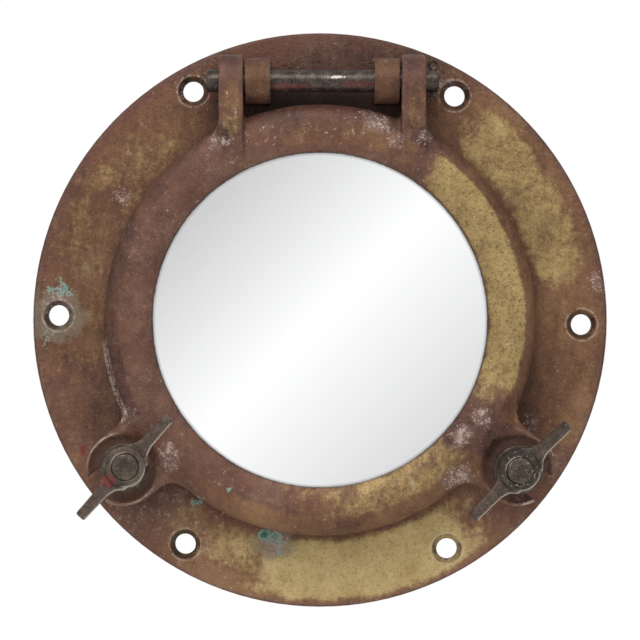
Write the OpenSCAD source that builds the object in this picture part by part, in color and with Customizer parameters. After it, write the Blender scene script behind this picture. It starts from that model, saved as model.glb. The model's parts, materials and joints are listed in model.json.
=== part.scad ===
// Ship's round window: a bolted bronze frame, a top-hinged sash with a silvered pane,
// and two swing-bolt dogs with wing nuts.
// Every module is drawn lying on its back: X across, Y up the bulkhead, Z out into the cabin,
// with Z = 0 on the frame's mounting plane. module upright() stands the result up.

/* [Main frame] */
// Diameter of the bolted flange
flange_d = 305; // [300:1:320]
// Thickness of the flange
flange_t = 8; // [7:0.5:9]
// Clear diameter through the frame
bore_d = 190; // [188:1:192]
// Wall of the spigot that passes through the bulkhead
spigot_wall = 6; // [4:0.5:8]
// How far the spigot reaches behind the flange
spigot_l = 38; // [20:1:80]
// Number of fixing holes
hole_n = 6; // [4:1:8]
// Circle that the fixing holes lie on
hole_pcd = 278; // [274:1:280]
// Diameter of each fixing hole
hole_d = 11; // [8:0.5:12]
// Diameter of the countersink at its mouth
sink_d = 15.4; // [12.5:0.1:16]

/* [Sash] */
// Diameter of the opening that shows the pane
sight_d = 176; // [172:1:178]
// Outer diameter of the sash where it faces the flange
sash_d = 228; // [226:1:230]
// Gap between the closed sash and the flange
sash_gap = 1; // [0.8:0.1:1.2]
// Diameter of the pane
pane_d = 190; // [186:1:190]
// Thickness of the pane
pane_t = 6; // [5:0.5:6]
// Number of screws that hold the retaining ring
screw_n = 8; // [4:1:12]

/* [Hinge] */
// Height of the hinge axis above the centre of the window
hinge_up = 126; // [125:0.5:127]
// Diameter of the hinge pin
pin_d = 12; // [10:0.5:12]
// Width of each hinge arm and each knuckle
arm_w = 13; // [10:0.1:13.2]
// Distance from the middle of the hinge to the middle of each arm
arm_x = 48; // [47.5:0.5:50]
// Distance from the middle of the hinge to the middle of each knuckle
knuckle_x = 34; // [32:0.5:34]
// How far the hinge sits to the right of the centre line
hinge_x = 1.3; // [0:0.1:2]

/* [Dogs] */
// Distance from the centre of the window to each dog
dog_r = 130; // [129:0.5:131]
// Angle of each dog below the horizontal
dog_drop = 37; // [33:1:42]
// Diameter of the threaded bolt
bolt_d = 13.9; // [12:0.1:14]
// Tip-to-tip span of the wing nut
wing_span = 70; // [60:1:72]
// Turn of the left nut's wings from the line through the window's centre
left_wing_turn = 11; // [0:1:180]
// Turn of the right nut's wings from the line through the window's centre
right_wing_turn = 81; // [0:1:180]
// Lean of the left bolt towards the centre
left_lean = 5; // [0:0.5:5]
// Height of the washer's face above the pivot with the nut backed off
washer_up = 23.5; // [23.3:0.1:25]

/* [Hidden] */
$fn = 96;

bronze = [0.44, 0.31, 0.25];
dark_bronze = [0.30, 0.25, 0.21];
dark_steel = [0.22, 0.20, 0.19];
worn_brass = [0.58, 0.49, 0.30];
silver = [0.90, 0.91, 0.92];
rubber = [0.08, 0.08, 0.08];

flange_r = flange_d / 2;
bore_r = bore_d / 2;
sight_r = sight_d / 2;
sash_r = sash_d / 2;
pane_r = pane_d / 2;
pin_r = pin_d / 2;
bolt_r = bolt_d / 2;
cut = 1;               // how far a cutter runs past the face that it opens
running = 0.05;        // radial clearance of a turning fit
braze_gap = 0.1;       // radial gap that the brazing of the spigot fills
spigot_in = 3;         // how far the spigot is let into the flange's back
spigot_relief = 1.5;   // how much its let-in end is turned down
edge = 1.5;            // rounding of the flange's rim
hole_turn = -1;        // turn of the fixing holes from the horizontal

// heights above the mounting plane
sash_z = flange_t + sash_gap;
seat_top = flange_t + 3;           // tip of the raised sealing seat
groove_z = seat_top + 4;           // floor of the sash's gasket groove
ring_z = sash_z + 4.5;             // back of the retaining ring
ring_t = 4;
pane_z = ring_z + ring_t;
glazing_z = pane_z + pane_t;
glazing_t = 1.5;
lip_z = glazing_z + glazing_t;     // back of the lip in front of the pane
crown_z = lip_z + 6.4;             // highest line of the sash's face
hinge_z = flange_t + 15.2;
pivot_z = flange_t + 8;

// radii on the window's own axis
seat_r = 107.5;
groove_r = [104.5, 110.5];
ring_r = [89.5, 101.5];
screw_circle_r = 98.5;
crown_r = 100;
shoulder_w = 9;                    // width of the rounded outer shoulder
shoulder_h = 11.2;                 // height of the rounded outer shoulder

// hinge
eye_r = 14;                        // rounded end of each arm
knuckle_r = 12;
pin_half = 61.3;                   // half the length of the hinge pin
split_x = 58.4;                    // where the split pin crosses the hinge pin
split_r = 1.2;
screw_r = 1.75;

// dogs
lug_r = 6.2;
lug_t = 5;
lug_gap = 14.8;
pivot_r = 3.5;
head_r = 4.6;
head_t = 1.1;
eye_bolt_r = 7.3;
eye_bolt_t = 14;
bolt_end = 40.3;                   // bolt's length above its pivot
ear_r = 20;
rim_r = 19;
ear_z = [23, 26, 29.6];            // underside, foot of the slope and rim of the ear
cup_r = [16.3, 18.2];              // floor and mouth of the cup round the bolt
cup_z = 27.5;
neck_w = 33;                       // width of the ear's neck across its flat top
slot_r = 7.6;
slot_in = 3;                       // how far the slot runs in past the bolt
ear_fillet = 9;
washer_r = 12.6;
washer_t = 2;
hub_r = [11.8, 10.6];
hub_h = 14;
nut_up = washer_up + washer_t;

function arc_points(centre, semi, from, to, steps) =
    [for (i = [0:steps])
        let (a = from + (to - from) * i / steps)
        [centre.x + semi.x * cos(a), centre.y + semi.y * sin(a)]];

// stands a window that lies on its back upright, facing -Y
module upright() {
    rotate([90, 0, 0]) children();
}

// carries a shape drawn on the X axis round to a dog: side is -1 for left, 1 for right
module at_dog(side) {
    rotate([0, 0, side > 0 ? -dog_drop : 180 + dog_drop]) translate([dog_r, 0, 0]) children();
}

// as at_dog, with Z = 0 on the pivot, leaning towards the window's centre
module on_bolt(side) {
    at_dog(side)
        translate([0, 0, pivot_z])
            rotate([0, side < 0 ? -left_lean : 0, 0])
                children();
}

// a cylinder that lies along X, centred on it
module bar_x(r, l) {
    rotate([0, 90, 0]) cylinder(r = r, h = l, center = true);
}

// a cylinder that lies along Y, centred on it
module bar_y(r, l) {
    rotate([90, 0, 0]) cylinder(r = r, h = l, center = true);
}

// a cylinder with both ends chamfered, standing on Z = 0
module chamfered_rod(r, l, c) {
    cylinder(r1 = r - c, r2 = r, h = c);
    translate([0, 0, c]) cylinder(r = r, h = l - 2 * c);
    translate([0, 0, l - c]) cylinder(r1 = r, r2 = r - c, h = c);
}

module flat_ring(r_in, r_out, t) {
    difference() {
        cylinder(r = r_out, h = t);
        translate([0, 0, -cut]) cylinder(r = r_in, h = t + 2 * cut);
    }
}

// ---- main frame ----

module frame_casting() {
    rim = arc_points([flange_r - edge, flange_t - edge], [edge, edge], 0, 90, 5);
    recess_r = bore_r + spigot_wall - spigot_relief + braze_gap;
    rotate_extrude()
        polygon(concat(
            [[bore_r, spigot_in], [recess_r, spigot_in], [recess_r, spigot_relief],
             [recess_r + spigot_relief, 0],
             [flange_r - 0.6, 0], [flange_r, 0.6]],
            rim,
            [[seat_r + 2, flange_t], [seat_r + 0.6, seat_top], [seat_r - 0.6, seat_top],
             [seat_r - 2, flange_t], [bore_r + 1, flange_t], [bore_r, flange_t - 1]]));
}

module knuckle() {
    rotate([90, 0, 90])
        translate([0, 0, -arm_w / 2])
            linear_extrude(arm_w)
                translate([hinge_up, 0]) {
                    translate([0, hinge_z]) circle(knuckle_r);
                    translate([-knuckle_r, flange_t - cut])
                        square([2 * knuckle_r, hinge_z - flange_t + cut]);
                }
}

// the two lugs that hold one dog's pivot pin
module pivot_lugs() {
    for (s = [-1, 1])
        translate([0, s * (lug_gap + lug_t) / 2, 0]) {
            translate([0, 0, pivot_z]) bar_y(lug_r, lug_t);
            translate([-lug_r, -lug_t / 2, flange_t - cut])
                cube([2 * lug_r, lug_t, pivot_z - flange_t + cut]);
        }
}

module fixing_hole() {
    sink_depth = (sink_d - hole_d) / 2;
    translate([0, 0, -cut]) cylinder(d = hole_d, h = flange_t + 2 * cut);
    translate([0, 0, flange_t - sink_depth])
        cylinder(d1 = hole_d, d2 = sink_d + 2 * cut, h = sink_depth + cut);
}

module main_frame() {
    color(bronze)
    difference() {
        union() {
            frame_casting();
            for (s = [-1, 1]) {
                translate([hinge_x + s * knuckle_x, 0, 0]) knuckle();
                at_dog(s) pivot_lugs();
            }
        }
        for (i = [0:hole_n - 1])
            rotate([0, 0, hole_turn + i * 360 / hole_n])
                translate([hole_pcd / 2, 0, 0])
                    fixing_hole();
        translate([hinge_x, hinge_up, hinge_z]) bar_x(pin_r + running, 2 * (knuckle_x + arm_w));
        for (s = [-1, 1])
            at_dog(s) translate([0, 0, pivot_z]) bar_y(pivot_r + running, 4 * lug_gap);
    }
}

// tube that is let into the flange's back, brazed there, and passes through the bulkhead
module spigot() {
    outer_r = bore_r + spigot_wall;
    color(bronze)
    rotate_extrude()
        polygon([[bore_r, spigot_in], [bore_r, 1 - spigot_l], [bore_r + 1, -spigot_l],
                 [outer_r - 1, -spigot_l], [outer_r, 1 - spigot_l], [outer_r, 0],
                 [outer_r - spigot_relief, 0], [outer_r - spigot_relief, spigot_in]]);
}

// ---- hinge ----

module hinge_pin() {
    color(dark_steel)
    difference() {
        translate([hinge_x - pin_half, hinge_up, hinge_z])
            rotate([0, 90, 0])
                chamfered_rod(pin_r, 2 * pin_half, 0.8);
        translate([hinge_x + split_x, hinge_up, hinge_z]) bar_y(split_r + 0.1, 4 * pin_r);
    }
}

module hinge_split_pin() {
    loop_r = 2;
    wire_r = 0.9;
    leg_l = 3;
    leg_splay = 28;
    color(dark_steel)
    translate([hinge_x + split_x, hinge_up, hinge_z]) {
        bar_y(split_r, 2 * pin_r + 1);
        translate([0, pin_r + loop_r + 0.6, 0])
            rotate_extrude($fn = 32)
                translate([loop_r, 0]) circle(wire_r, $fn = 24);
        for (s = [-1, 1])
            translate([0, -pin_r - 0.4, 0])
                rotate([90, 0, s * leg_splay])
                    cylinder(r = wire_r, h = leg_l, $fn = 24);
    }
}

// ---- sash ----

module sash_casting() {
    shoulder_z = crown_z - 0.2 - shoulder_h;
    shoulder = arc_points([sash_r - shoulder_w, shoulder_z], [shoulder_w, shoulder_h], 0, 90, 8);
    rotate_extrude()
        polygon(concat(
            [[sight_r, lip_z], [pane_r + 0.3, lip_z], [pane_r + 0.3, pane_z],
             [ring_r[1] + 0.3, pane_z], [ring_r[1] + 0.3, sash_z],
             [sash_r - 0.8, sash_z], [sash_r, sash_z + 0.8]],
            shoulder,
            [[crown_r, crown_z], [95, crown_z - 0.7], [91.5, crown_z - 2],
             [sight_r + 1, crown_z - 3.4], [sight_r, crown_z - 4.2]]));
}

// side view of a hinge arm, drawn with X up the window and Y out of it
module arm_outline() {
    back = sash_z + 0.2;
    difference() {
        union() {
            translate([hinge_up, hinge_z]) circle(eye_r);
            polygon([[hinge_up, hinge_z + eye_r], [hinge_up, hinge_z - eye_r],
                     [sash_r - 4, back], [103, back], [103, lip_z], [84, lip_z],
                     [80, crown_z - 3], [88, crown_z + 1.6], [104, crown_z + 4.2]]);
        }
        translate([hinge_up, hinge_z]) circle(pin_r + running);
    }
}

// fills the corner between an arm's outer face and the sash's rim with a hollow curve
module arm_web(side) {
    web_r = 14;
    face_x = side * hinge_x + arm_x + arm_w / 2;
    centre_x = face_x + web_r;
    centre_y = sqrt(pow(sash_r - 1 + web_r, 2) - pow(centre_x, 2));
    mirror([side > 0 ? 0 : 1, 0, 0])
        translate([0, 0, sash_z + 1])
            linear_extrude(crown_z - sash_z - 4)
                difference() {
                    polygon([[face_x - 4, centre_y], [centre_x, centre_y],
                             [centre_x * 0.92, centre_y * 0.92], [face_x - 4, centre_y - 12]]);
                    translate([centre_x, centre_y]) circle(web_r);
                }
}

// an ear without its slot: a round boss on a neck that slopes down from the sash's face
module ear() {
    fillet_u = sqrt(pow(sash_r + ear_fillet, 2) - pow(ear_r + ear_fillet, 2)) - dog_r;
    neck_in = crown_r - dog_r;
    rotate_extrude()
        polygon([[0, ear_z[0]], [ear_r, ear_z[0]], [ear_r, ear_z[1]], [rim_r, ear_z[2]], [0, ear_z[2]]]);
    intersection() {
        rotate([90, 0, 0])
            linear_extrude(2 * ear_r, center = true)
                polygon([[neck_in, ear_z[0]], [0, ear_z[0]], [0, ear_z[2]], [sash_r - dog_r + 2, ear_z[2]],
                         [sash_r - dog_r - 3.5, crown_z - 0.2], [neck_in, crown_z - 0.2]]);
        rotate([90, 0, 90])
            linear_extrude(4 * ear_r, center = true)
                polygon([[-ear_r, ear_z[0]], [ear_r, ear_z[0]], [ear_r, ear_z[1]],
                         [neck_w / 2, crown_z], [-neck_w / 2, crown_z], [-ear_r, ear_z[1]]]);
    }
    for (s = [-1, 1])
        translate([0, 0, ear_z[0]])
            linear_extrude(ear_z[1] - ear_z[0])
                difference() {
                    polygon([[fillet_u, 0], [fillet_u, s * (ear_r + ear_fillet)],
                             [sash_r - dog_r - 4, s * (ear_r + ear_fillet - 2)],
                             [sash_r - dog_r - 10, 0]]);
                    translate([fillet_u, s * (ear_r + ear_fillet)]) circle(ear_fillet);
                }
}

module ear_cut() {
    slot_h = ear_z[2] - ear_z[0] + 4 * cut;
    wall_h = ear_z[2] - cup_z;
    flare = (cup_r[1] - cup_r[0]) / wall_h;
    translate([0, 0, cup_z]) cylinder(r1 = cup_r[0], r2 = cup_r[0] + flare * (wall_h + 2), h = wall_h + 2);
    translate([0, 0, ear_z[0] - cut]) {
        translate([-slot_in, 0, 0]) cylinder(r = slot_r, h = slot_h);
        translate([-slot_in, -slot_r, 0]) cube([2 * ear_r, 2 * slot_r, slot_h]);
    }
}

module screw_places() {
    for (i = [0:screw_n - 1])
        rotate([0, 0, (i + 0.5) * 360 / screw_n])
            translate([screw_circle_r, 0, 0])
                children();
}

module sash_ring() {
    color(bronze)
    difference() {
        union() {
            sash_casting();
            for (s = [-1, 1]) {
                translate([hinge_x + s * arm_x - arm_w / 2, 0, 0])
                    rotate([90, 0, 90])
                        linear_extrude(arm_w)
                            arm_outline();
                arm_web(s);
                at_dog(s) ear();
            }
        }
        for (s = [-1, 1])
            at_dog(s) ear_cut();
        translate([0, 0, sash_z - cut]) flat_ring(groove_r[0], groove_r[1], groove_z - sash_z + cut);
        screw_places() translate([0, 0, pane_z - cut]) cylinder(r = screw_r + running, h = 8);
        translate([0, 0, lip_z - 20]) cylinder(r = pane_r + 0.3, h = 20);
        translate([0, 0, lip_z - cut]) cylinder(r = sight_r, h = 20);
    }
}

module mirror_pane() {
    color(silver)
    translate([0, 0, pane_z]) {
        cylinder(r1 = pane_r - 0.6, r2 = pane_r, h = 0.6);
        translate([0, 0, 0.6]) cylinder(r = pane_r, h = pane_t - 1.2);
        translate([0, 0, pane_t - 0.6]) cylinder(r1 = pane_r, r2 = pane_r - 0.6, h = 0.6);
    }
}

module glazing_gasket() {
    color(rubber)
    translate([0, 0, glazing_z]) flat_ring(sight_r + 0.4, pane_r, glazing_t);
}

module sash_gasket() {
    gasket_z = seat_top + 0.3;
    color(rubber)
    translate([0, 0, gasket_z])
        flat_ring(groove_r[0] + 0.05, groove_r[1] - 0.05, groove_z - gasket_z);
}

module retaining_ring() {
    color(worn_brass)
    difference() {
        translate([0, 0, ring_z]) flat_ring(ring_r[0], ring_r[1], ring_t);
        screw_places() translate([0, 0, ring_z - cut]) cylinder(r = screw_r + running, h = ring_t + 2 * cut);
    }
}

// pan-head screws that hold the retaining ring, heads towards the frame
module retaining_screws() {
    head = [3.3, 2];
    color(worn_brass)
    screw_places()
        difference() {
            union() {
                translate([0, 0, ring_z]) cylinder(r = screw_r, h = ring_t + 6.5);
                translate([0, 0, ring_z - head[1]]) cylinder(r1 = head[0] - 0.7, r2 = head[0], h = head[1]);
            }
            translate([-head[0] - cut, -0.45, ring_z - head[1] - cut])
                cube([2 * (head[0] + cut), 0.9, cut + 1.1]);
        }
}

// ---- dogs ----

// eye bolt, drawn with its pivot at the origin
module dog_bolt() {
    color(dark_bronze)
    difference() {
        union() {
            bar_y(eye_bolt_r, eye_bolt_t);
            cylinder(r = bolt_r, h = bolt_end - 1);
            translate([0, 0, bolt_end - 1]) cylinder(r1 = bolt_r, r2 = bolt_r - 1, h = 1);
        }
        bar_y(pivot_r + 0.08, 2 * eye_bolt_t);
    }
}

// pivot pin with both ends riveted over the lugs
module pivot_pin() {
    half = lug_gap / 2 + lug_t;
    color(dark_bronze)
    translate([0, 0, pivot_z]) {
        bar_y(pivot_r, 2 * half + head_t);
        for (s = [-1, 1])
            translate([0, s * (half + 0.05 + head_t / 2), 0]) bar_y(head_r, head_t);
    }
}

module washer() {
    color(dark_bronze)
    translate([0, 0, washer_up])
        difference() {
            chamfered_rod(washer_r, washer_t, 0.4);
            translate([0, 0, -cut]) cylinder(r = bolt_r + 0.35, h = washer_t + 2 * cut);
        }
}

// wing nut, drawn with the bolt's pivot at the origin and its wings along X
module wing_nut() {
    tip = wing_span / 2;
    outline = [[tip, 2.3], [tip - 1, 2.9], [17, 3.3], [12.5, 4.6], [9, 8], [0, 9]];
    side = [[0, 2], [12, 2], [20, 4.5], [tip - 2.5, 9], [tip, 11.5], [tip - 0.5, 17.5],
            [tip - 2.5, 19], [tip - 7, 17.8], [17, 13.4], [11, 12.4], [0, 12.4]];
    color(dark_bronze)
    translate([0, 0, nut_up])
        difference() {
            union() {
                cylinder(r1 = hub_r[0], r2 = hub_r[1], h = hub_h);
                for (turn = [0, 180])
                    rotate([0, 0, turn])
                        intersection() {
                            linear_extrude(20)
                                polygon(concat(outline, [for (i = [len(outline) - 1:-1:0])
                                                         [outline[i].x, -outline[i].y]]));
                            translate([0, 10, 0]) rotate([90, 0, 0]) linear_extrude(20) polygon(side);
                        }
            }
            translate([0, 0, -cut]) cylinder(r = bolt_r + 0.08, h = hub_h + 2 * cut);
        }
}

upright() main_frame();
upright() spigot();
upright() hinge_pin();
upright() hinge_split_pin();
upright() sash_ring();
upright() mirror_pane();
upright() glazing_gasket();
upright() retaining_ring();
upright() retaining_screws();
upright() sash_gasket();
upright() on_bolt(-1) dog_bolt();  // left_dog_bolt
upright() at_dog(-1) pivot_pin();  // left_pivot_pin
upright() on_bolt(-1) washer();  // left_washer
upright() on_bolt(-1) rotate([0, 0, left_wing_turn]) wing_nut();  // left_wing_nut
upright() on_bolt(1) dog_bolt();  // right_dog_bolt
upright() at_dog(1) pivot_pin();  // right_pivot_pin
upright() on_bolt(1) washer();  // right_washer
upright() on_bolt(1) rotate([0, 0, right_wing_turn]) wing_nut();  // right_wing_nut
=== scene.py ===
import json
import math

import bpy
import bmesh
from mathutils import Matrix, Vector, noise


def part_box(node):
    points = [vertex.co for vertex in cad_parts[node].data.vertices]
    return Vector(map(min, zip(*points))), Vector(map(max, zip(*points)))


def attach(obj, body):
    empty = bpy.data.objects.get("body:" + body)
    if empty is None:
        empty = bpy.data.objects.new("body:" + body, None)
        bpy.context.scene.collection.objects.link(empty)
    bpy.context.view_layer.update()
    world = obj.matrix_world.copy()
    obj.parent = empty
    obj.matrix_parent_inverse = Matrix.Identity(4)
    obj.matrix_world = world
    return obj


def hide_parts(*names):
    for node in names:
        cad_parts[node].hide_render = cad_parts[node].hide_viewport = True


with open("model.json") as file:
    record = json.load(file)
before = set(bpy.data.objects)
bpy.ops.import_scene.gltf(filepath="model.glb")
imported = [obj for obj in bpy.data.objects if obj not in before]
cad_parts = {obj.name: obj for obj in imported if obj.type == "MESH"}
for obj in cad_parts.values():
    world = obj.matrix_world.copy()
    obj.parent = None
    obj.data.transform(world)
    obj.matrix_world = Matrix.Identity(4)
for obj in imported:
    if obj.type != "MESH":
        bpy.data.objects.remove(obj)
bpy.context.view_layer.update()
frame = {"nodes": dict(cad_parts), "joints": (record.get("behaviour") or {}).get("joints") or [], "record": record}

scene = bpy.context.scene
nodes = frame["nodes"]
joints = {j["name"]: j for j in frame["joints"]}
mm = 0.001


class Wire:
    # one socket of a finish; arithmetic on it adds Math nodes
    def __init__(self, finish, socket):
        self.finish = finish
        self.socket = socket

    def maths(self, operation, *values):
        return self.finish.node("ShaderNodeMath", {"operation": operation}, dict(enumerate(values)))

    def __add__(self, other):
        return self.maths("ADD", self, other)

    def __radd__(self, other):
        return self.maths("ADD", other, self)

    def __sub__(self, other):
        return self.maths("SUBTRACT", self, other)

    def __rsub__(self, other):
        return self.maths("SUBTRACT", other, self)

    def __mul__(self, other):
        return self.maths("MULTIPLY", self, other)

    def __rmul__(self, other):
        return self.maths("MULTIPLY", other, self)

    def __truediv__(self, other):
        return self.maths("DIVIDE", self, other)

    def __pow__(self, other):
        return self.maths("POWER", self, other)


class Finish:
    # a node material under construction
    def __init__(self, name):
        self.material = bpy.data.materials.new(name)
        self.material.use_nodes = True
        self.tree = self.material.node_tree
        self.tree.nodes.clear()
        self.output = self.tree.nodes.new("ShaderNodeOutputMaterial")

    def node(self, kind, settings=None, values=None, out=0):
        made = self.tree.nodes.new(kind)
        for key, value in (settings or {}).items():
            if key == "stops":
                self.setStops(made.color_ramp, value)
            else:
                setattr(made, key, value)
        for key, value in (values or {}).items():
            socket = made.inputs[key]
            if isinstance(value, Wire):
                self.tree.links.new(value.socket, socket)
            else:
                socket.default_value = value
        return Wire(self, made.outputs[out])

    def setStops(self, ramp, stops):
        while len(ramp.elements) < len(stops):
            ramp.elements.new(0.5)
        for element, (place, colour) in zip(ramp.elements, stops):
            element.position = place
            element.color = (*colour, 1)

    def ramp(self, value, stops):
        return self.node("ShaderNodeValToRGB", {"stops": stops}, {0: value})

    def mix(self, share, low, high):
        # colours, low where share is 0; sockets 6 and 7 and output 2 are the node's colour ones
        low, high = [c if isinstance(c, Wire) else (*c, 1) for c in (low, high)]
        return self.node("ShaderNodeMix", {"data_type": "RGBA"}, {0: share, 6: low, 7: high}, out=2)

    def step(self, value, start, end):
        # 0 before start, 1 after end, smooth between; it may run downwards
        return self.node("ShaderNodeMapRange", {"interpolation_type": "SMOOTHSTEP"},
                         {"Value": value, "From Min": start, "From Max": end})

    def grain(self, scale, detail=4, rough=0.6, shift=0.0, stretch=(1, 1, 1), warp=0.0):
        # cloudy noise, scale in blobs per metre
        offset = (shift, shift * 0.7, shift * 1.3)
        place = self.node("ShaderNodeMapping", None,
                          {"Vector": self.place(), "Location": offset, "Scale": stretch})
        return self.node("ShaderNodeTexNoise", None,
                         {"Vector": place, "Scale": scale, "Detail": detail, "Roughness": rough,
                          "Distortion": warp})

    def pits(self, scale):
        # distance to scattered points, scale in points per metre
        return self.node("ShaderNodeTexVoronoi", None, {"Vector": self.place(), "Scale": scale})

    def along(self, direction, other):
        # cosine of the angle between two directions
        return self.node("ShaderNodeVectorMath", {"operation": "DOT_PRODUCT"},
                         {0: direction, 1: other}, out="Value")

    def place(self):
        # where a point lies on its piece, which is the window's frame with every joint at rest
        return self.node("ShaderNodeTexCoord", out="Object")

    def surface(self, colour, rough, metal, bump=None, bumpHeight=0.001, edge=0.0, **fixed):
        # the closing shader; bump is a height between 0 and 1
        values = {"Base Color": colour if isinstance(colour, Wire) else (*colour, 1),
                  "Roughness": rough, "Metallic": metal}
        normal = None
        if edge:
            normal = self.node("ShaderNodeBevel", {"samples": 6}, {"Radius": edge})
        if bump is not None:
            heights = {"Height": bump, "Distance": bumpHeight, "Strength": 1.0}
            if normal:
                heights["Normal"] = normal
            normal = self.node("ShaderNodeBump", None, heights)
        if normal:
            values["Normal"] = normal
        values.update(fixed)
        shader = self.node("ShaderNodeBsdfPrincipled", None, values)
        self.tree.links.new(shader.socket, self.output.inputs[0])
        return self.material


def dress(piece, material):
    # a piece has one finish
    piece.data.materials.clear()
    piece.data.materials.append(material)


flangeLow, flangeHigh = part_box("main_frame")
flangeRadius = (flangeHigh.x - flangeLow.x) / 2
paneLow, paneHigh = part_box("mirror_pane")
hinge = Vector(joints["sash_hinge"]["pos_m"])
pivot = {side: Vector(joints[side + "_dog_swing"]["pos_m"]) for side in ("left", "right")}
boltAxis = {side: Vector(joints[side + "_nut_turn"]["axis"]).normalized() for side in pivot}
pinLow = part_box("hinge_pin")[0]
flangeFront = -8 * mm      # the flange's front face
paneRadius = 88 * mm       # edge of the pane that shows
footRadius = 114 * mm      # outer edge of the sash


def polar(f):
    # across, up, out and distance from the window's axis, all in metres
    axes = f.node("ShaderNodeSeparateXYZ", None, {0: f.place()})
    across, out, up = [Wire(f, socket) for socket in axes.socket.node.outputs]
    radius = (across * across + up * up) ** 0.5
    return across, up, out, radius


def sector(f, at, middle, half, soft):
    # 1 within half degrees of a direction seen from the middle of the window
    across, up, out, radius = at
    turn = math.radians(middle)
    along = (across * math.cos(turn) + up * math.sin(turn)) / radius
    return f.step(along, math.cos(math.radians(half + soft)), math.cos(math.radians(half)))


def belt(f, value, low, high, soft):
    # 1 between low and high, fading out over soft on both sides
    return f.step(value, low - soft, low) * f.step(value, high + soft, high)


def blot(f, at, centre, size, turn=0.0):
    # soft round or oval patch, 1 in the middle, centre and size in metres
    across, up, out, radius = at
    c, s = math.cos(math.radians(turn)), math.sin(math.radians(turn))
    dx, dz = across - centre[0], up - centre[1]
    u = (dx * c + dz * s) / size[0]
    v = (dz * c - dx * s) / size[1]
    return f.step((u * u + v * v) ** 0.5, 1.0, 0.15)


def distanceTo(at, centre):
    dx, dz = at[0] - centre[0], at[1] - centre[1]
    return (dx * dx + dz * dz) ** 0.5


def onCircle(radius, degrees):
    # across and up of a point round the window's middle, counted from the right
    turn = math.radians(degrees)
    return radius * math.cos(turn), radius * math.sin(turn)


def highest(*regions):
    # overlapping marks keep the stronger one
    top = regions[0]
    for region in regions[1:]:
        top = top.maths("MAXIMUM", top, region)
    return top


bronzeLook = {
    "brown": [(0.16, (0.042, 0.020, 0.015)), (0.38, (0.102, 0.048, 0.035)), (0.53, (0.150, 0.074, 0.052)),
              (0.68, (0.205, 0.108, 0.073)), (0.88, (0.320, 0.190, 0.130))],
    "plum": (0.112, 0.056, 0.050),
    "russet": (0.185, 0.072, 0.044),
    "ochre": [(0.25, (0.095, 0.042, 0.022)), (0.50, (0.172, 0.083, 0.038)), (0.78, (0.280, 0.152, 0.068))],
    "brass": [(0.20, (0.140, 0.085, 0.036)), (0.40, (0.265, 0.175, 0.076)), (0.58, (0.415, 0.295, 0.118)),
              (0.80, (0.590, 0.450, 0.210))],
    "pepper": (0.110, 0.068, 0.034),
    "pepperShare": {True: 0.36, False: 0.10},    # on the sash's brass and on the flange's
    "chalk": (0.290, 0.195, 0.168),
    # painted shade: the dark colour laid in creases and recesses, where shade falls
    "hollow": (0.050, 0.027, 0.020),
    # painted shadow: the near-black colour laid in the deepest gaps
    "soot": (0.018, 0.014, 0.011),
    "verdigris": [(0.42, (0.360, 0.390, 0.330)), (0.60, (0.260, 0.450, 0.400)), (0.84, (0.090, 0.290, 0.240)),
                  (1.0, (0.016, 0.100, 0.075))],
    "paleGreen": (0.215, 0.185, 0.135),
    "salt": (0.600, 0.450, 0.400),
    "redPaint": (0.190, 0.022, 0.020),
    "rubbed": (0.400, 0.270, 0.190),
    "bright": (0.600, 0.490, 0.410),
    "roundOff": 0.7 * mm,
    "gloss": 0.32,
    "pitDepth": 0.75 * mm,
}


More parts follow.
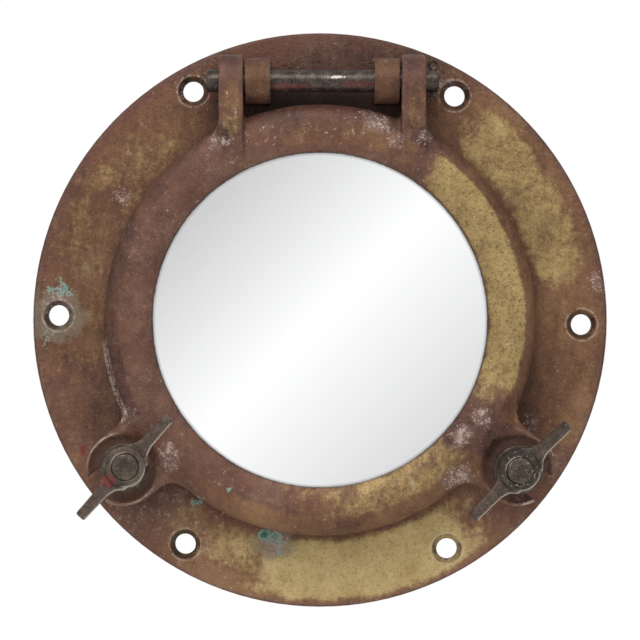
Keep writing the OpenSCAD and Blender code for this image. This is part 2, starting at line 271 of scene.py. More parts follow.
def bronze(name, dense, areas):
    # areas takes the finish and its polar place, and gives each kind of mark a soft region
    f = Finish(name)
    at = polar(f)
    look = bronzeLook
    cloud = f.grain(24, 6, 0.62)
    blotch = f.grain(95, 8, 0.70, shift=3.1)
    flake = f.grain(330, 5, 0.74, shift=7.7)
    dust = f.grain(1300, 2, 0.6, shift=1.9)
    streak = f.grain(60, 6, 0.72, shift=5.2, stretch=(2.2, 1, 0.45), warp=0.6)
    marks = areas(f, at)

    # painted light raises the tone where the light mark lies; the dark mark lowers it, with darker tone and
    # painted shade
    tone = (cloud * 0.8 + blotch * 0.55 + streak * 0.55 + flake * 0.6 + dust * 0.5 - 0.97
            + marks["light"] * 0.16 - marks["dark"] * 0.20)
    colour = f.ramp(tone, look["brown"])
    colour = f.mix(f.step(streak, 0.50, 0.66) * 0.45, colour, look["plum"])

    rust = f.grain(30, 6, 0.66, shift=21.3, warp=0.5)
    colour = f.mix(f.step(rust, 0.44, 0.62) * (0.25 + flake * 0.35), colour, look["russet"])

    ragged = blotch * 0.50 + streak * 0.30 + flake * 0.35 - 0.575
    ochre = f.step(marks["ochre"] + ragged * 2.2, 0.24, 0.84)
    colour = f.mix(ochre * (0.85 - f.step(rust, 0.44, 0.62) * 0.35), colour, f.ramp(tone, look["ochre"]))
    shine = f.step(marks["brass"] + ragged * 2.3, 0.32, 0.92)
    # painted light also brightens the brass where the light mark lies
    yellow = cloud * 0.4 + blotch * 0.6 + flake * 0.40 + dust * 0.25 - 0.335 + marks["light"] * 0.17
    colour = f.mix(shine * 0.92, colour, f.ramp(yellow, look["brass"]))

    pepper = f.step(f.grain(640, 3, 0.65, shift=12.4) * 0.7 + dust * 0.3, 0.465, 0.40)
    colour = f.mix(pepper * (0.22 + shine * look["pepperShare"][dense]), colour, look["pepper"])

    colour = f.mix(f.step(marks["paleGreen"] + ragged * 2.4, 0.35, 0.85) * 0.6, colour, look["paleGreen"])
    crust = marks["verdigris"] + (flake - 0.5) * 2.2 + (blotch - 0.5) * 1.5
    colour = f.mix(f.step(crust, 0.40, 0.62) * 0.85, colour, f.ramp(crust + (dust - 0.5), look["verdigris"]))

    colour = f.mix(f.step(marks["salt"] + ragged * 2.0, 0.45, 1.05) * 0.45, colour, look["chalk"])
    salt = f.step(flake * 0.72 + dust * 0.50 - 0.11 + marks["salt"] * 0.14, 0.645, 0.695)
    colour = f.mix(salt * 0.85, colour, look["salt"])
    colour = f.mix(f.step(marks["paint"] + ragged * 3.5, 0.35, 0.70) * 0.75, colour, look["redPaint"])

    # painted shade in creases, cups and round the sash's foot
    colour = f.mix(marks["hollow"], colour, look["hollow"])
    # painted shadow in the countersinks, under the hinge pin and in thin lines at the sash's foot and the pane's
    # edge
    colour = f.mix(marks["soot"], colour, look["soot"])
    corner = rubbedCorners(f, dense) * f.step(blotch, 0.40, 0.56)
    colour = f.mix(corner * 0.45, colour, look["rubbed"])
    worn = marks["worn"] * f.step(flake, 0.42, 0.55)
    colour = f.mix(worn * 0.8, colour, look["bright"])

    pits = f.step(f.pits(430), 0.05, 0.42)
    height = blotch * 0.55 + flake * 0.45 + pits * 0.16 + dust * 0.10 + cloud * 0.5 + salt * 0.15
    rough = 0.52 - shine * 0.06 + (flake - 0.5) * 0.6 + salt * 0.2
    metal = 0.30 + shine * 0.18
    return f.surface(colour, rough, metal, bump=height, bumpHeight=look["pitDepth"], edge=look["roundOff"],
                     **{"Specular IOR Level": look["gloss"]})


def rubbedCorners(f, dense):
    # 1 on outer corners: from the mesh where it is dense, otherwise from how far the corner rounds off
    if dense:
        return f.step(f.node("ShaderNodeNewGeometry", out="Pointiness"), 0.520, 0.580)
    true = f.node("ShaderNodeNewGeometry", out="True Normal")
    soft = f.node("ShaderNodeBevel", {"samples": 6}, {"Radius": 0.8 * mm})
    return f.step(f.along(true, soft), 0.97, 0.86)


boltHoles = next(m for m in frame["record"]["mounts"] if m["kind"] == "bolt_pattern")["dims"]
holeLook = {"turn": -1, "mouth": 7.9 * mm, "ring": 8.9 * mm}


def frameAreas(f, at):
    across, up, out, radius = at
    holes = None
    for n in range(boltHoles["count"]):
        centre = onCircle(boltHoles["pcd_mm"] / 2 * mm, holeLook["turn"] + n * 360 / boltHoles["count"])
        away = distanceTo(at, centre)
        holes = holes.maths("MINIMUM", holes, away) if holes else away
    countersink = f.step(holes, holeLook["mouth"] + 0.4 * mm, holeLook["mouth"] - 0.3 * mm)
    mouthRing = belt(f, holes, holeLook["mouth"] + 0.4 * mm, holeLook["ring"], 0.4 * mm)
    onFace = f.step(out, flangeFront - 2.6 * mm, flangeFront - 0.6 * mm)
    # painted shade on the flange round the sash's foot, mostly left off at the bottom
    footShade = belt(f, radius, 108 * mm, footRadius + 1.2 * mm, 6.5 * mm) * onFace
    footShade = footShade * (1 - sector(f, at, -88, 44, 24) * 0.9)
    knuckles = highest(*[blot(f, at, (hinge.x + x * mm, hinge.z), (13 * mm, 17 * mm)) for x in (-32.7, 35.3)])
    knuckles = knuckles * f.step(out, flangeFront - 2 * mm, flangeFront - 5 * mm)
    # painted shadow of the hinge pin on the flange below it
    pinShadow = blot(f, at, (hinge.x + 1.3 * mm, hinge.z - 8 * mm), (72 * mm, 11 * mm))
    pinShadow = pinShadow * f.step(out, flangeFront - 4 * mm, flangeFront - 0.6 * mm)
    # painted shade on the flange beside the two ears
    earShade = highest(blot(f, at, onCircle(124 * mm, -28), (20 * mm, 10 * mm), 62),
                         blot(f, at, onCircle(124 * mm, 212), (20 * mm, 11 * mm), -62))
    # patchy strength of the painted shadow in the countersinks
    patchyShadow = 0.15 + f.step(f.grain(190, 3, 0.6, shift=6.6), 0.40, 0.58) * 0.55
    front = f.step(out, flangeFront + 6 * mm, flangeFront + 2 * mm)
    # painted shade along the flange's outer rim
    rim = f.step(radius, flangeRadius - 2 * mm, flangeRadius)
    marks = {
        "brass": highest(
            sector(f, at, -79, 14, 18) * belt(f, radius, 121 * mm, 145 * mm, 8 * mm) * 1.1,
            sector(f, at, -101, 10, 14) * belt(f, radius, 122 * mm, 137 * mm, 9 * mm) * 0.66,
            sector(f, at, -122, 12, 10) * belt(f, radius, 119 * mm, 140 * mm, 9 * mm) * 0.34,
            sector(f, at, -60, 8, 8) * belt(f, radius, 126 * mm, 140 * mm, 8 * mm) * 0.50,
            sector(f, at, 31, 16, 12) * belt(f, radius, 122 * mm, 139 * mm, 12 * mm) * 0.80,
            sector(f, at, 8, 8, 12) * belt(f, radius, 121 * mm, 134 * mm, 12 * mm) * 0.25,
            sector(f, at, 150, 16, 14) * belt(f, radius, 120 * mm, 140 * mm, 14 * mm) * 0.40,
            sector(f, at, 182, 8, 8) * belt(f, radius, 120 * mm, 138 * mm, 10 * mm) * 0.34),
        "ochre": highest(
            sector(f, at, -88, 30, 16) * belt(f, radius, 118 * mm, 148 * mm, 6 * mm) * 0.9,
            sector(f, at, 20, 42, 14) * belt(f, radius, 116 * mm, 146 * mm, 9 * mm) * 0.85,
            sector(f, at, 152, 30, 20) * belt(f, radius, 118 * mm, 144 * mm, 10 * mm) * 0.8,
            sector(f, at, 200, 12, 12) * 0.45, sector(f, at, 65, 12, 10) * 0.35,
            knuckles * 1.4),
        "salt": highest(
            blot(f, at, onCircle(124 * mm, 216), (22 * mm, 20 * mm)) * 0.8,
            blot(f, at, onCircle(138 * mm, -33), (16 * mm, 22 * mm), -35) * 0.9,
            blot(f, at, onCircle(141 * mm, 119), (16 * mm, 10 * mm)) * 0.8,
            blot(f, at, onCircle(141 * mm, 62), (20 * mm, 8 * mm)) * 0.9,
            blot(f, at, onCircle(148 * mm, 8), (7 * mm, 14 * mm)) * 0.9,
            blot(f, at, onCircle(140 * mm, 178), (15 * mm, 17 * mm)) * 1.1,
            blot(f, at, (-24 * mm, -120 * mm), (16 * mm, 13 * mm)) * 0.9,
            blot(f, at, onCircle(124 * mm, 148), (9 * mm, 9 * mm)) * 0.9,
            blot(f, at, (103 * mm, -76 * mm), (9 * mm, 16 * mm), -30),
            blot(f, at, (112 * mm, -55 * mm), (10 * mm, 9 * mm)) * 0.8,
            sector(f, at, -125, 14, 12) * 0.35),
        "paleGreen": highest(
            sector(f, at, -130, 10, 12) * belt(f, radius, 118 * mm, 140 * mm, 10 * mm) * 0.42,
            blot(f, at, onCircle(140 * mm, 179), (28 * mm, 25 * mm)) * 1.1,
            blot(f, at, onCircle(130 * mm, 168), (20 * mm, 16 * mm)) * 0.5,
            blot(f, at, (-24 * mm, -119 * mm), (22 * mm, 14 * mm)) * 1.1,
            blot(f, at, onCircle(126 * mm, -132), (14 * mm, 10 * mm)) * 0.5),
        "verdigris": highest(
            blot(f, at, (-29.5 * mm, -114 * mm), (6 * mm, 5.5 * mm)) * 1.1,
            blot(f, at, (-24 * mm, -116.5 * mm), (11 * mm, 7 * mm), -25) * 0.75,
            blot(f, at, (-22 * mm, -122 * mm), (4 * mm, 10 * mm), 12) * 0.55,
            blot(f, at, onCircle(139 * mm, 173), (16 * mm, 9 * mm)) * 0.50,
            blot(f, at, onCircle(146 * mm, 184), (7 * mm, 10 * mm)) * 0.50,
            blot(f, at, onCircle(126.7 * mm, -132.8), (6 * mm, 5 * mm)) * 0.45,
            blot(f, at, onCircle(117 * mm, -124), (6 * mm, 3 * mm)) * 0.60),
        "paint": highest(
            blot(f, at, onCircle(143 * mm, 208.5), (5 * mm, 8 * mm)) * 0.62,
            blot(f, at, (pinLow.x + 1 * mm, hinge.z - 7 * mm), (9 * mm, 4 * mm)) * 0.72),
        # lightens the flange: painted light at the bottom and low on both sides, and a weak lighter patch up on
        # the right
        "light": highest(sector(f, at, -86, 38, 14) * 1.3, sector(f, at, 30, 20, 12) * 0.2,
                         highest(sector(f, at, -31, 14, 12), sector(f, at, 209, 12, 12) * 0.8)
                         * f.step(radius, 134 * mm, 146 * mm)) * f.step(radius, 114 * mm, 121 * mm),
        # darker at the top of the flange and on the flange next to the ears
        "dark": highest(sector(f, at, 90, 24, 16) * f.step(radius, 162 * mm, 138 * mm),
                        sector(f, at, -31, 11, 12) * f.step(radius, 138 * mm, 122 * mm) * 0.6,
                        sector(f, at, 211, 13, 12) * f.step(radius, 142 * mm, 120 * mm) * 0.45),
        # painted shade round the sash's foot, beside the ears and along the outer rim
        "hollow": highest(footShade * 0.16, earShade * 0.32, rim * 0.4),
        # painted shadow in the countersinks, under the hinge pin and in a thin line round the sash's foot
        "soot": highest(countersink * patchyShadow, pinShadow * 0.66,
                        belt(f, radius, footRadius - 2 * mm, footRadius + 0.2 * mm, 0.8 * mm) * 0.16),
        "worn": highest(mouthRing * 0.45, sector(f, at, 196, 8, 3)
                        * belt(f, radius, footRadius + 1.0 * mm, footRadius + 2.0 * mm, 0.5 * mm) * 0.7),
    }
    # the back has none of this wear, patina, painted light or painted shade
    return {kind: region * front for kind, region in marks.items()}


def sashAreas(f, at):
    across, up, out, radius = at
    lines = sector(f, at, 196, 9, 3) * 0.7
    lines = lines * belt(f, radius, footRadius - 1.2 * mm, footRadius - 0.6 * mm, 0.5 * mm)
    underside = sector(f, at, -84, 36, 16)
    # painted shade on the sash's sides towards the flange, weaker at the bottom
    flankShade = f.step(out, -20 * mm, -10 * mm) * (0.34 - sector(f, at, -84, 40, 16) * 0.32)
    # painted shade in the cups round the hubs
    cupShade = radius * 0
    for side, hub in pivot.items():
        away = distanceTo(at, (hub.x, hub.z))
        rim = belt(f, away, 18.4 * mm, 19.2 * mm, 0.4 * mm) * f.step(out, -26.5 * mm, -29 * mm)
        if side == "left":
            share = highest(blot(f, at, (hub.x - 14 * mm, hub.z + 14 * mm), (17 * mm, 17 * mm)) * 0.8,
                            blot(f, at, (hub.x + 11 * mm, hub.z - 15 * mm), (15 * mm, 12 * mm)) * 0.6)
        else:
            share = blot(f, at, (hub.x + 7 * mm, hub.z - 17 * mm), (16 * mm, 12 * mm))
        lines = highest(lines, rim * share)
        cupShade = highest(cupShade, f.step(away, 18.5 * mm, 15.5 * mm))
    return {
        "brass": highest(
            sector(f, at, 16, 30, 14) * belt(f, radius, 91 * mm, 106 * mm, 4 * mm),
            sector(f, at, -14, 9, 9) * belt(f, radius, 90 * mm, 99 * mm, 6 * mm) * 0.58,
            sector(f, at, -64, 14, 15) * belt(f, radius, 90 * mm, 103 * mm, 5 * mm) * 0.66,
            sector(f, at, -88, 8, 12) * belt(f, radius, 88 * mm, 94 * mm, 5 * mm) * 0.42,
            blot(f, at, (-47 * mm, 102 * mm), (9 * mm, 16 * mm)) * 0.5,
            blot(f, at, (-46 * mm, 128 * mm), (9 * mm, 14 * mm)) * 0.25,
            blot(f, at, (50 * mm, 106 * mm), (8 * mm, 18 * mm)) * 0.42),
        "ochre": highest(
            sector(f, at, 15, 33, 14) * 0.75, sector(f, at, -72, 22, 16) * 0.6,
            underside * belt(f, radius, 104 * mm, 112 * mm, 4 * mm) * 0.9,
            blot(f, at, onCircle(115 * mm, -25), (16 * mm, 12 * mm)),
            sector(f, at, 80, 16, 12) * belt(f, radius, 94 * mm, 104 * mm, 5 * mm) * 0.6,
            blot(f, at, (-46 * mm, 112 * mm), (10 * mm, 30 * mm)) * 0.7,
            blot(f, at, (50 * mm, 112 * mm), (10 * mm, 30 * mm)) * 0.55,
            blot(f, at, onCircle(114 * mm, 215), (12 * mm, 9 * mm)) * 0.8),
        "salt": highest(
            blot(f, at, (30 * mm, 104 * mm), (20 * mm, 10 * mm), -30),
            sector(f, at, 92, 26, 18) * belt(f, radius, 95 * mm, 106 * mm, 5 * mm) * 0.30,
            blot(f, at, (-46 * mm, 112 * mm), (8 * mm, 26 * mm)) * 0.45,
            blot(f, at, (40 * mm, 94 * mm), (9 * mm, 11 * mm)) * 0.9,
            blot(f, at, onCircle(99 * mm, -31), (10 * mm, 9 * mm)) * 1.1,
            blot(f, at, onCircle(96 * mm, -39), (12 * mm, 10 * mm), 50) * 1.1,
            blot(f, at, onCircle(109 * mm, -49), (16 * mm, 10 * mm), 25) * 1.15,
            blot(f, at, (pivot["right"].x + 4 * mm, pivot["right"].z - 17 * mm), (14 * mm, 5 * mm)) * 0.7,
            blot(f, at, onCircle(117 * mm, 205), (15 * mm, 9 * mm)) * 1.05,
            blot(f, at, onCircle(106 * mm, 222), (12 * mm, 14 * mm)),
            blot(f, at, (-53 * mm, 94 * mm), (14 * mm, 10 * mm)) * 0.85,
            blot(f, at, (55 * mm, 96 * mm), (9 * mm, 8 * mm)) * 0.9),
        "paleGreen": highest(blot(f, at, (30 * mm, hinge.z - 8 * mm), (16 * mm, 8 * mm)) * 0.5,
                             blot(f, at, onCircle(98 * mm, -123), (14 * mm, 10 * mm)) * 0.4),
        "verdigris": highest(blot(f, at, (-52 * mm, -79.8 * mm), (5 * mm, 4 * mm)) * 0.5,
                             blot(f, at, (-48.8 * mm, -88.8 * mm), (5 * mm, 4 * mm)) * 0.5,
                             blot(f, at, (-63.7 * mm, -94 * mm), (6 * mm, 3 * mm)) * 0.5),
        "paint": blot(f, at, (pivot["left"].x - 18 * mm, pivot["left"].z + 5 * mm), (5 * mm, 6 * mm)) * 0.55,
        # lightens the sash: painted light low on the left, and weaker lighter areas up on the right and on the
        # inner lip at the top
        "light": highest(sector(f, at, 20, 40, 20) * 0.25, sector(f, at, -122, 14, 12) * 0.9,
                         sector(f, at, 90, 24, 16) * f.step(radius, 104 * mm, 94 * mm) * 0.5),
        # painted shade on the sash's sloping shoulder, left off at the bottom, and on the rounded tops of the
        # hinge arms
        "dark": highest(belt(f, radius, 107 * mm, footRadius, 2 * mm) * (0.6 - underside * 0.6),
                        blot(f, at, (hinge.x - 46.7 * mm, 134 * mm), (10 * mm, 12 * mm)) * 0.9,
                        blot(f, at, (hinge.x + 49.3 * mm, 134 * mm), (10 * mm, 12 * mm)) * 0.9),
        # painted shade on the sash's sides and in the cups round the hubs
        "hollow": highest(flankShade, cupShade * 0.58),
        # painted shadow in a thin line where the sash meets the pane
        "soot": belt(f, radius, paneRadius - 1 * mm, paneRadius + 0.4 * mm, 0.5 * mm) * 0.6,
        "worn": lines,
    }


frameBronze = bronze("frameBronze", False, frameAreas)
sashBronze = bronze("sashBronze", True, sashAreas)
dress(nodes["main_frame"], frameBronze)
dress(nodes["spigot"], frameBronze)
print("bronze mixed")


fittingLook = {
    "bronze": [(0.22, (0.013, 0.010, 0.008)), (0.42, (0.036, 0.028, 0.021)), (0.60, (0.072, 0.056, 0.042)),
               (0.82, (0.160, 0.125, 0.090))],
    "leftHub": [(0.22, (0.024, 0.018, 0.013)), (0.42, (0.062, 0.046, 0.033)), (0.60, (0.110, 0.082, 0.060)),
                (0.82, (0.220, 0.165, 0.125))],
    "stud": [(0.22, (0.024, 0.018, 0.013)), (0.42, (0.062, 0.045, 0.032)), (0.60, (0.115, 0.085, 0.062)),
             (0.82, (0.240, 0.185, 0.140))],
    "iron": [(0.22, (0.014, 0.011, 0.009)), (0.45, (0.046, 0.033, 0.027)), (0.62, (0.098, 0.069, 0.052)),
             (0.85, (0.220, 0.165, 0.130))],
    # colour of the painted highlights on the fittings
    "worn": (0.500, 0.430, 0.360),
    "salt": (0.600, 0.480, 0.420),
    "redPaint": (0.220, 0.022, 0.020),
    "green": (0.062, 0.076, 0.052),
    "wing": [(0.22, (0.036, 0.023, 0.017)), (0.42, (0.080, 0.053, 0.041)), (0.60, (0.130, 0.088, 0.070)),
             (0.82, (0.240, 0.175, 0.140))],
    "pitDepth": 0.30 * mm,
    "roundOff": 0.5 * mm,
}


def darkMetal(name, stops, rough, marks):
    # marks are paint, salt and painted highlight patches as (centre, size, share), wings that differ from their
    # hub, and the side whose rounded corners get a painted highlight
    f = Finish(name)
    at = polar(f)
    blotch = f.grain(170, 6, 0.68, shift=2.2)
    speck = f.grain(800, 4, 0.7, shift=4.4)
    tone = blotch * 1.1 + speck * 0.8 - 0.45
    colour = f.mix(f.step(blotch, 0.55, 0.68) * 0.35, f.ramp(tone, stops), fittingLook["green"])
    if "wings" in marks:
        hub, start, end = marks["wings"]
        colour = f.mix(f.step(distanceTo(at, (hub.x, hub.z)), start, end) * 0.85, colour,
                       f.ramp(tone, fittingLook["wing"]))
    for centre, size, share in marks.get("paint", []):
        paint = f.step(blot(f, at, centre, size) + (blotch - 0.5) * 1.8 + (speck - 0.5), 0.35, 0.75)
        colour = f.mix(paint * share, colour, fittingLook["redPaint"])
    for centre, size, share in marks.get("salt", []):
        salt = f.step(speck + blot(f, at, centre, size) * (0.16 * share), 0.665, 0.72)
        colour = f.mix(salt * 0.85, colour, fittingLook["salt"])
    for centre, size, share in marks.get("paintedHighlight", []):
        patch = f.step(blot(f, at, centre, size) + (speck - 0.5) * 2.5, 0.55, 0.75)
        colour = f.mix(patch * share, colour, fittingLook["worn"])
    if "worn" in marks:
        # painted highlight on the rounded corners that face the given side
        rounded = f.node("ShaderNodeBevel", {"samples": 8}, {"Radius": 1.7 * mm})
        normal = f.node("ShaderNodeVectorTransform", {"vector_type": "NORMAL", "convert_from": "WORLD",
                                                      "convert_to": "OBJECT"}, {0: rounded})
        paintedHighlight = f.step(f.along(normal, marks["worn"]), 0.74, 0.90) * f.step(speck, 0.30, 0.42)
        colour = f.mix(paintedHighlight * 0.85, colour, fittingLook["worn"])
    height = blotch * 0.7 + speck * 0.4
    return f.surface(colour, rough + (speck - 0.5) * 0.5, 0.5, bump=height,
                     bumpHeight=fittingLook["pitDepth"], edge=fittingLook["roundOff"])


# the side whose rounded corners get a painted highlight
lowerRight = Vector((0.52, -0.64, -0.56)).normalized()
leftHub, rightHub = pivot["left"], pivot["right"]
nutBronze = {
    "left": darkMetal("leftNutBronze", fittingLook["leftHub"], 0.50, {
        "paint": [((leftHub.x - 6 * mm, leftHub.z - 5.5 * mm), (8 * mm, 6 * mm), 0.6)],
        "wings": (leftHub, 7 * mm, 13 * mm), "worn": lowerRight}),
    "right": darkMetal("rightNutBronze", fittingLook["bronze"], 0.50, {
        "salt": [((rightHub.x, rightHub.z), (14 * mm, 14 * mm), 0.8)],
        "wings": (rightHub, 11 * mm, 15 * mm), "worn": lowerRight})}
boltBronze = darkMetal("boltBronze", fittingLook["stud"], 0.45, {
    "salt": [((rightHub.x, rightHub.z), (16 * mm, 16 * mm), 0.35)]})
pinIron = darkMetal("pinIron", fittingLook["iron"], 0.36, {
    "paint": [((-18 * mm, hinge.z - 3 * mm), (22 * mm, 3 * mm), 0.35),
              ((20 * mm, hinge.z - 2 * mm), (16 * mm, 3 * mm), 0.3)],
    # a painted highlight along the top of the hinge pin
    "paintedHighlight": [((9 * mm, hinge.z + 1.6 * mm), (8 * mm, 1.5 * mm), 0.9)]})
for name in ("left_pivot_pin", "right_pivot_pin", "left_washer", "right_washer"):
    dress(nodes[name], boltBronze)
for name in ("hinge_pin", "hinge_split_pin"):
    dress(nodes[name], pinIron)


innerLook = {"tarnish": (0.090, 0.060, 0.032), "tarnished": 0.4, "pitDepth": 0.1 * mm, "roundOff": 0.4 * mm}


def dullBrass(look):
    f = Finish("dullBrass")
    blotch = f.grain(120, 6, 0.6, shift=6.1)
    speck = f.grain(800, 3, 0.6, shift=9.4)
    colour = f.ramp(blotch * 0.7 + speck * 0.3, bronzeLook["brass"])
    colour = f.mix(f.step(blotch, 0.50, 0.38) * look["tarnished"], colour, look["tarnish"])
    return f.surface(colour, 0.42 + speck * 0.2, 0.85, bump=blotch + speck * 0.3,
                     bumpHeight=look["pitDepth"], edge=look["roundOff"])


innerBrass = dullBrass(innerLook)
dress(nodes["retaining_ring"], innerBrass)
dress(nodes["retaining_screws"], innerBrass)


rubberLook = {"black": (0.012, 0.012, 0.012), "chalky": (0.055, 0.052, 0.048), "grainDepth": 0.08 * mm}


def oldRubber(look):
    f = Finish("oldRubber")
    speck = f.grain(1100, 4, 0.6, shift=8.0)
    chalk = f.grain(140, 5, 0.6, shift=2.7)
    colour = f.mix(f.step(chalk, 0.50, 0.70) * 0.6, look["black"], look["chalky"])
    return f.surface(colour, 0.78 + (speck - 0.5) * 0.2, 0.0, bump=speck, bumpHeight=look["grainDepth"])


sealRubber = oldRubber(rubberLook)
dress(nodes["glazing_gasket"], sealRubber)
dress(nodes["sash_gasket"], sealRubber)


paneLook = {
    "silver": (0.93, 0.935, 0.94), "edge": (0.30, 0.30, 0.29), "edgeWidth": 1.6 * mm,
    "backDark": (0.10, 0.095, 0.095), "backPale": (0.20, 0.175, 0.150), "waviness": 0.004 * mm,
}


def silveredGlass(look):
    # the silver has gone dull in a thin line at its edge, and its back is painted
    f = Finish("silveredGlass")
    across, up, out, radius = polar(f)
    smear = f.grain(38, 5, 0.6, shift=4.9)
    speck = f.grain(900, 2, 0.6, shift=1.1)
    edge = f.step(radius + (smear - 0.5) * 1.2 * mm, paneRadius - look["edgeWidth"], paneRadius)
    colour = f.mix(edge * 0.55, look["silver"], look["edge"])
    backing = f.step(out, paneLow.y + 4.5 * mm, paneHigh.y - 0.2 * mm)
    colour = f.mix(backing, colour, f.mix(f.step(smear, 0.42, 0.60), look["backDark"], look["backPale"]))
    rough = 0.012 + f.step(smear, 0.55, 0.75) * 0.02 + edge * 0.15 + backing * 0.6
    return f.surface(colour, rough, 1.0 - backing * 0.9, bump=smear * 0.2 + speck * 0.002,
                     bumpHeight=look["waviness"])


dress(nodes["mirror_pane"], silveredGlass(paneLook))
print("fittings, seals and pane finished")


def recast(name, source, voxel, rounds, dent, dentScale, seed):
    # remeshes a copy of a sharp-cornered solid, rounds its corners and gives it a cast unevenness,
    # which goes inwards so that the piece stays inside the solid
    piece = bpy.data.objects.new(name, source.data.copy())
    scene.collection.objects.link(piece)
    weld = piece.modifiers.new("weld", "WELD")
    weld.merge_threshold = 0.01 * mm
    remesh = piece.modifiers.new("remesh", "REMESH")
    remesh.mode = "VOXEL"
    remesh.voxel_size = voxel
    smooth = piece.modifiers.new("smooth", "SMOOTH")
    smooth.factor = 0.5
    smooth.iterations = rounds
    evaluated = piece.evaluated_get(bpy.context.evaluated_depsgraph_get())
    mesh = bpy.data.meshes.new_from_object(evaluated)
    piece.modifiers.clear()
    piece.data = mesh
    shift = Vector((seed, seed * 2.3, seed * 0.7))
    moved = []
    for v in mesh.vertices:
        swell = noise.noise(v.co * dentScale + shift) + 0.4 * noise.noise(v.co * dentScale * 3.1 + shift)
        moved.extend(v.co + v.normal * dent * (swell - 0.8))
    mesh.vertices.foreach_set("co", moved)
    mesh.polygons.foreach_set("use_smooth", [True] * len(mesh.polygons))
    return piece


sashLook = {"voxel": 1.0 * mm, "rounds": 5, "dent": 0.14 * mm, "dentScale": 70, "seed": 3.3}
sash = recast("castSash", nodes["sash_ring"], **sashLook)
dress(sash, sashBronze)
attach(sash, "sash")
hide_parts("sash_ring")
print("sash cast,", len(sash.data.polygons), "faces")

nutLook = {"voxel": 0.42 * mm, "rounds": 5, "dent": 0.10 * mm, "dentScale": 190}
for seed, side in enumerate(("left", "right")):
    nut = recast(side + "WingNut", nodes[side + "_wing_nut"], seed=5.5 + seed, **nutLook)
    dress(nut, nutBronze[side])
    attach(nut, side + "_nut")
    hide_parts(side + "_wing_nut")
print("wing nuts cast")


boltLook = {
    "radius": 6.95 * mm, "pitch": 2 * mm, "threadDepth": 0.75 * mm, "threadFrom": 13 * mm,
    "around": 56, "stepsPerPitch": 8,
    "eyeRadius": 7.3 * mm, "eyeWidth": 14 * mm, "eyeBore": 3.58 * mm, "eyeRound": 1.1 * mm,
    "dome": 0.9 * mm, "shankFrom": 5 * mm, "neckDown": 0.3 * mm,
    "endRings": (0.93, 0.80, 0.77, 0.58, 0.55, 0.36, 0.33, 0.14), "toolRings": (0.77, 0.55, 0.33),
    "toolDepth": 0.12 * mm,
}
boltLength = pivot["right"].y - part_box("right_dog_bolt")[0].y


def lathe(bm, rings, around):
    # rings are lists of points round one axis; neighbours are joined by quads
    made = [[bm.verts.new(p) for p in ring] for ring in rings]
    for a, b in zip(made, made[1:]):
        for i in range(around):
            j = (i + 1) % around
            bm.faces.new((a[i], a[j], b[j], b[i]))
    return made


def shankMesh(look, length):
    bm = bmesh.new()
    around = look["around"]
    neck = look["radius"] - look["neckDown"]
    rings = []

    def ring(height, radiusAt):
        rings.append([Vector((radiusAt(i) * math.cos(2 * math.pi * i / around),
                              radiusAt(i) * math.sin(2 * math.pi * i / around), height))
                      for i in range(around)])

    ring(look["shankFrom"], lambda i: neck)
    ring(look["threadFrom"] - 1 * mm, lambda i: neck)
    top = length - look["dome"]
    count = round((top - look["threadFrom"]) / look["pitch"] * look["stepsPerPitch"])
    for n in range(count + 1):
        height = look["threadFrom"] + (top - look["threadFrom"]) * n / count
        runIn = min(1, n / look["stepsPerPitch"]) * min(1, (count - n) / (look["stepsPerPitch"] * 0.5) + 0.35)

        def threadRadius(i, height=height, runIn=runIn):
            phase = (height / look["pitch"] - i / around) % 1
            groove = min(1, max(0, abs(phase - 0.5) * 2.6 - 0.25))
            return look["radius"] - look["threadDepth"] * groove * runIn
        ring(height, threadRadius)
    # the end is domed and shows the rings of a turning tool
    for share in look["endRings"]:
        tool = look["toolDepth"] if share in look["toolRings"] else 0
        height = top + look["dome"] * (1 - share ** 2.4) - tool
        ring(height, lambda i, share=share: look["radius"] * share)
    made = lathe(bm, rings, around)
    bm.faces.new(list(reversed(made[0])))
    bm.faces.new(made[-1])
    return bm


def eyeMesh(look):
    # a ring round Y with rounded shoulders
    bm = bmesh.new()
    around, half, corner = 64, look["eyeWidth"] / 2, look["eyeRound"]
    outline = [(look["eyeBore"], -half + 0.5 * mm), (look["eyeBore"] + 0.5 * mm, -half)]
    for n in range(5):
        turn = -math.pi / 2 + math.pi / 2 * n / 4
        outline.append((look["eyeRadius"] - corner + corner * math.cos(turn),
                        -half + corner + corner * math.sin(turn)))
    outline += [(r, -y) for r, y in reversed(outline)]
    rings = [[Vector((r * math.cos(2 * math.pi * i / around), y, r * math.sin(2 * math.pi * i / around)))
              for i in range(around)] for r, y in outline]
    made = lathe(bm, rings, around)
    for i in range(around):
        j = (i + 1) % around
        bm.faces.new((made[-1][i], made[-1][j], made[0][j], made[0][i]))
    return bm


def asObject(name, bm):
    bmesh.ops.recalc_face_normals(bm, faces=bm.faces)
    mesh = bpy.data.meshes.new(name)
    bm.to_mesh(mesh)
    bm.free()
    made = bpy.data.objects.new(name, mesh)
    scene.collection.objects.link(made)
    return made


for side in ("left", "right"):
    bolt = asObject(side + "SwingBolt", shankMesh(boltLook, boltLength))
    eye = asObject(side + "Eye", eyeMesh(boltLook))
    union = bolt.modifiers.new("union", "BOOLEAN")
    union.operation = "UNION"
    union.solver = "EXACT"
    union.object = eye
    joined = bpy.data.meshes.new_from_object(bolt.evaluated_get(bpy.context.evaluated_depsgraph_get()))
    bolt.modifiers.clear()
    bolt.data = joined
    bpy.data.objects.remove(eye)
    # local Z goes along the bolt and local Y along the pivot pin
    along, across = boltAxis[side], Vector(joints[side + "_dog_swing"]["axis"]).normalized()
    third = across.cross(along).normalized()
    joined.transform(Matrix.Translation(pivot[side]) @ Matrix((third, across, along)).transposed().to_4x4())
    joined.polygons.foreach_set("use_smooth", [True] * len(joined.polygons))
    dress(bolt, boltBronze)
    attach(bolt, side + "_bolt")
    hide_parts(side + "_dog_bolt")
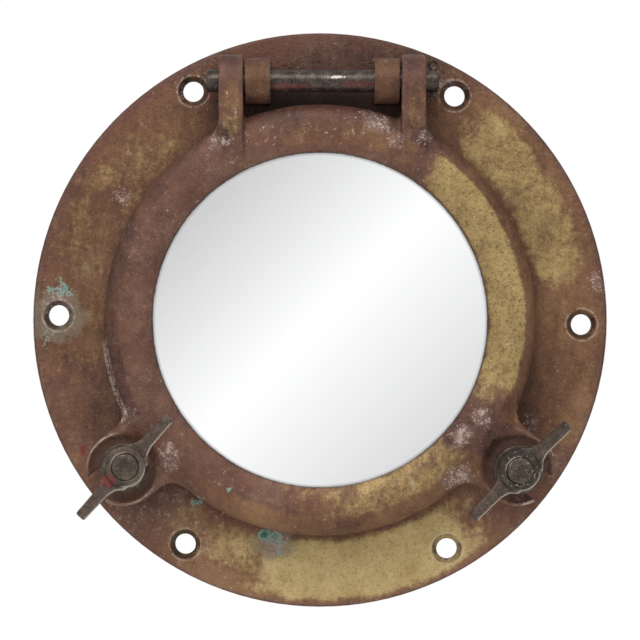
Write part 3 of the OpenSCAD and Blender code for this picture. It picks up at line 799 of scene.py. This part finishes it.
print("swing bolts threaded")


studioLook = {
    "floorDrop": 0.30, "floorSize": 5.8, "floorTone": (0.93, 0.925, 0.92), "floorShade": (0.90, 0.895, 0.89),
    "background": 1.0, "roomUp": 0.80, "roomDown": 0.58, "fadeFrom": -0.5, "fadeTo": 0.6,
    "lens": 200, "viewWidth": 0.3401, "sensor": 36,
}


def sheetObject(name, corners):
    mesh = bpy.data.meshes.new(name)
    mesh.from_pydata(corners, [], [(0, 1, 2, 3)])
    made = bpy.data.objects.new(name, mesh)
    scene.collection.objects.link(made)
    return made


def paleFloor(look):
    f = Finish("paleFloor")
    shade = f.grain(3, 4, 0.5) * 0.3
    return f.surface(f.mix(shade, look["floorTone"], look["floorShade"]), 0.8, 0.0)


floorHalf = studioLook["floorSize"] / 2
floorHeight = flangeLow.z - studioLook["floorDrop"]
floor = sheetObject("floor", [(-floorHalf, -floorHalf, floorHeight), (floorHalf, -floorHalf, floorHeight),
                              (floorHalf, floorHalf, floorHeight), (-floorHalf, floorHalf, floorHeight)])
dress(floor, paleFloor(studioLook))

# a soft card behind the camera is what the mirror shows: brightest along its rising diagonal
cardLook = {"away": -2.6, "half": 0.8, "upperLeft": 0.615, "middle": 1.09, "lowerRight": 0.715, "reach": 0.2}


def cardLight(look):
    f = Finish("cardLight")
    across, up, out, radius = polar(f)
    diagonal = (across - up) * math.sqrt(0.5) / (2 * look["reach"]) + 0.5
    tones = ((0.0, look["upperLeft"]), (0.5, 1.0), (1.0, look["lowerRight"]))
    glow = f.ramp(diagonal, [(place, (tone, tone, tone)) for place, tone in tones])
    emission = f.node("ShaderNodeEmission", None, {"Color": glow, "Strength": look["middle"]})
    f.tree.links.new(emission.socket, f.output.inputs[0])
    return f.material


cardHalf, cardAway = cardLook["half"], cardLook["away"]
card = sheetObject("softCard", [(-cardHalf, cardAway, -cardHalf), (-cardHalf, cardAway, cardHalf),
                                (cardHalf, cardAway, cardHalf), (cardHalf, cardAway, -cardHalf)])
dress(card, cardLight(cardLook))
card.visible_camera = False
card.visible_shadow = False

world = bpy.data.worlds.new("paleRoom")
world.use_nodes = True
scene.world = world
tree = world.node_tree
tree.nodes.clear()
seen = tree.nodes.new("ShaderNodeBackground")
seen.inputs[0].default_value = (1, 1, 1, 1)
seen.inputs[1].default_value = studioLook["background"]
room = tree.nodes.new("ShaderNodeBackground")
direction = tree.nodes.new("ShaderNodeTexCoord")
split = tree.nodes.new("ShaderNodeSeparateXYZ")
fade = tree.nodes.new("ShaderNodeMapRange")
fade.interpolation_type = "SMOOTHSTEP"
fade.inputs["From Min"].default_value = studioLook["fadeFrom"]
fade.inputs["From Max"].default_value = studioLook["fadeTo"]
fade.inputs["To Min"].default_value = studioLook["roomDown"]
fade.inputs["To Max"].default_value = studioLook["roomUp"]
path = tree.nodes.new("ShaderNodeLightPath")
choose = tree.nodes.new("ShaderNodeMixShader")
out = tree.nodes.new("ShaderNodeOutputWorld")
tree.links.new(direction.outputs["Generated"], split.inputs[0])
tree.links.new(split.outputs["Z"], fade.inputs[0])
tree.links.new(fade.outputs[0], room.inputs[1])
tree.links.new(path.outputs["Is Camera Ray"], choose.inputs[0])
tree.links.new(room.outputs[0], choose.inputs[1])
tree.links.new(seen.outputs[0], choose.inputs[2])
tree.links.new(choose.outputs[0], out.inputs[0])


def softLight(name, place, size, power):
    # a soft rectangle that faces the window
    data = bpy.data.lights.new(name, "AREA")
    data.shape = "RECTANGLE"
    data.size, data.size_y = size
    data.energy = power
    light = bpy.data.objects.new(name, data)
    light.location = place
    light.rotation_euler = (-Vector(place)).to_track_quat("-Z", "Y").to_euler()
    scene.collection.objects.link(light)


softLight("topLight", place=(-0.25, -1.0, 1.05), size=(1.0, 0.6), power=11)
softLight("lowLight", place=(0.45, -1.0, -0.75), size=(0.4, 0.4), power=3.5)

camera = bpy.data.objects.new("camera", bpy.data.cameras.new("camera"))
camera.data.lens = studioLook["lens"]
camera.data.sensor_width = studioLook["sensor"]
distance = studioLook["viewWidth"] * studioLook["lens"] / studioLook["sensor"]
camera.location = (0, flangeFront - distance, 0)
camera.rotation_euler = (math.pi / 2, 0, 0)
scene.collection.objects.link(camera)
scene.camera = camera
scene.view_settings.view_transform = "Standard"
print("studio lit")
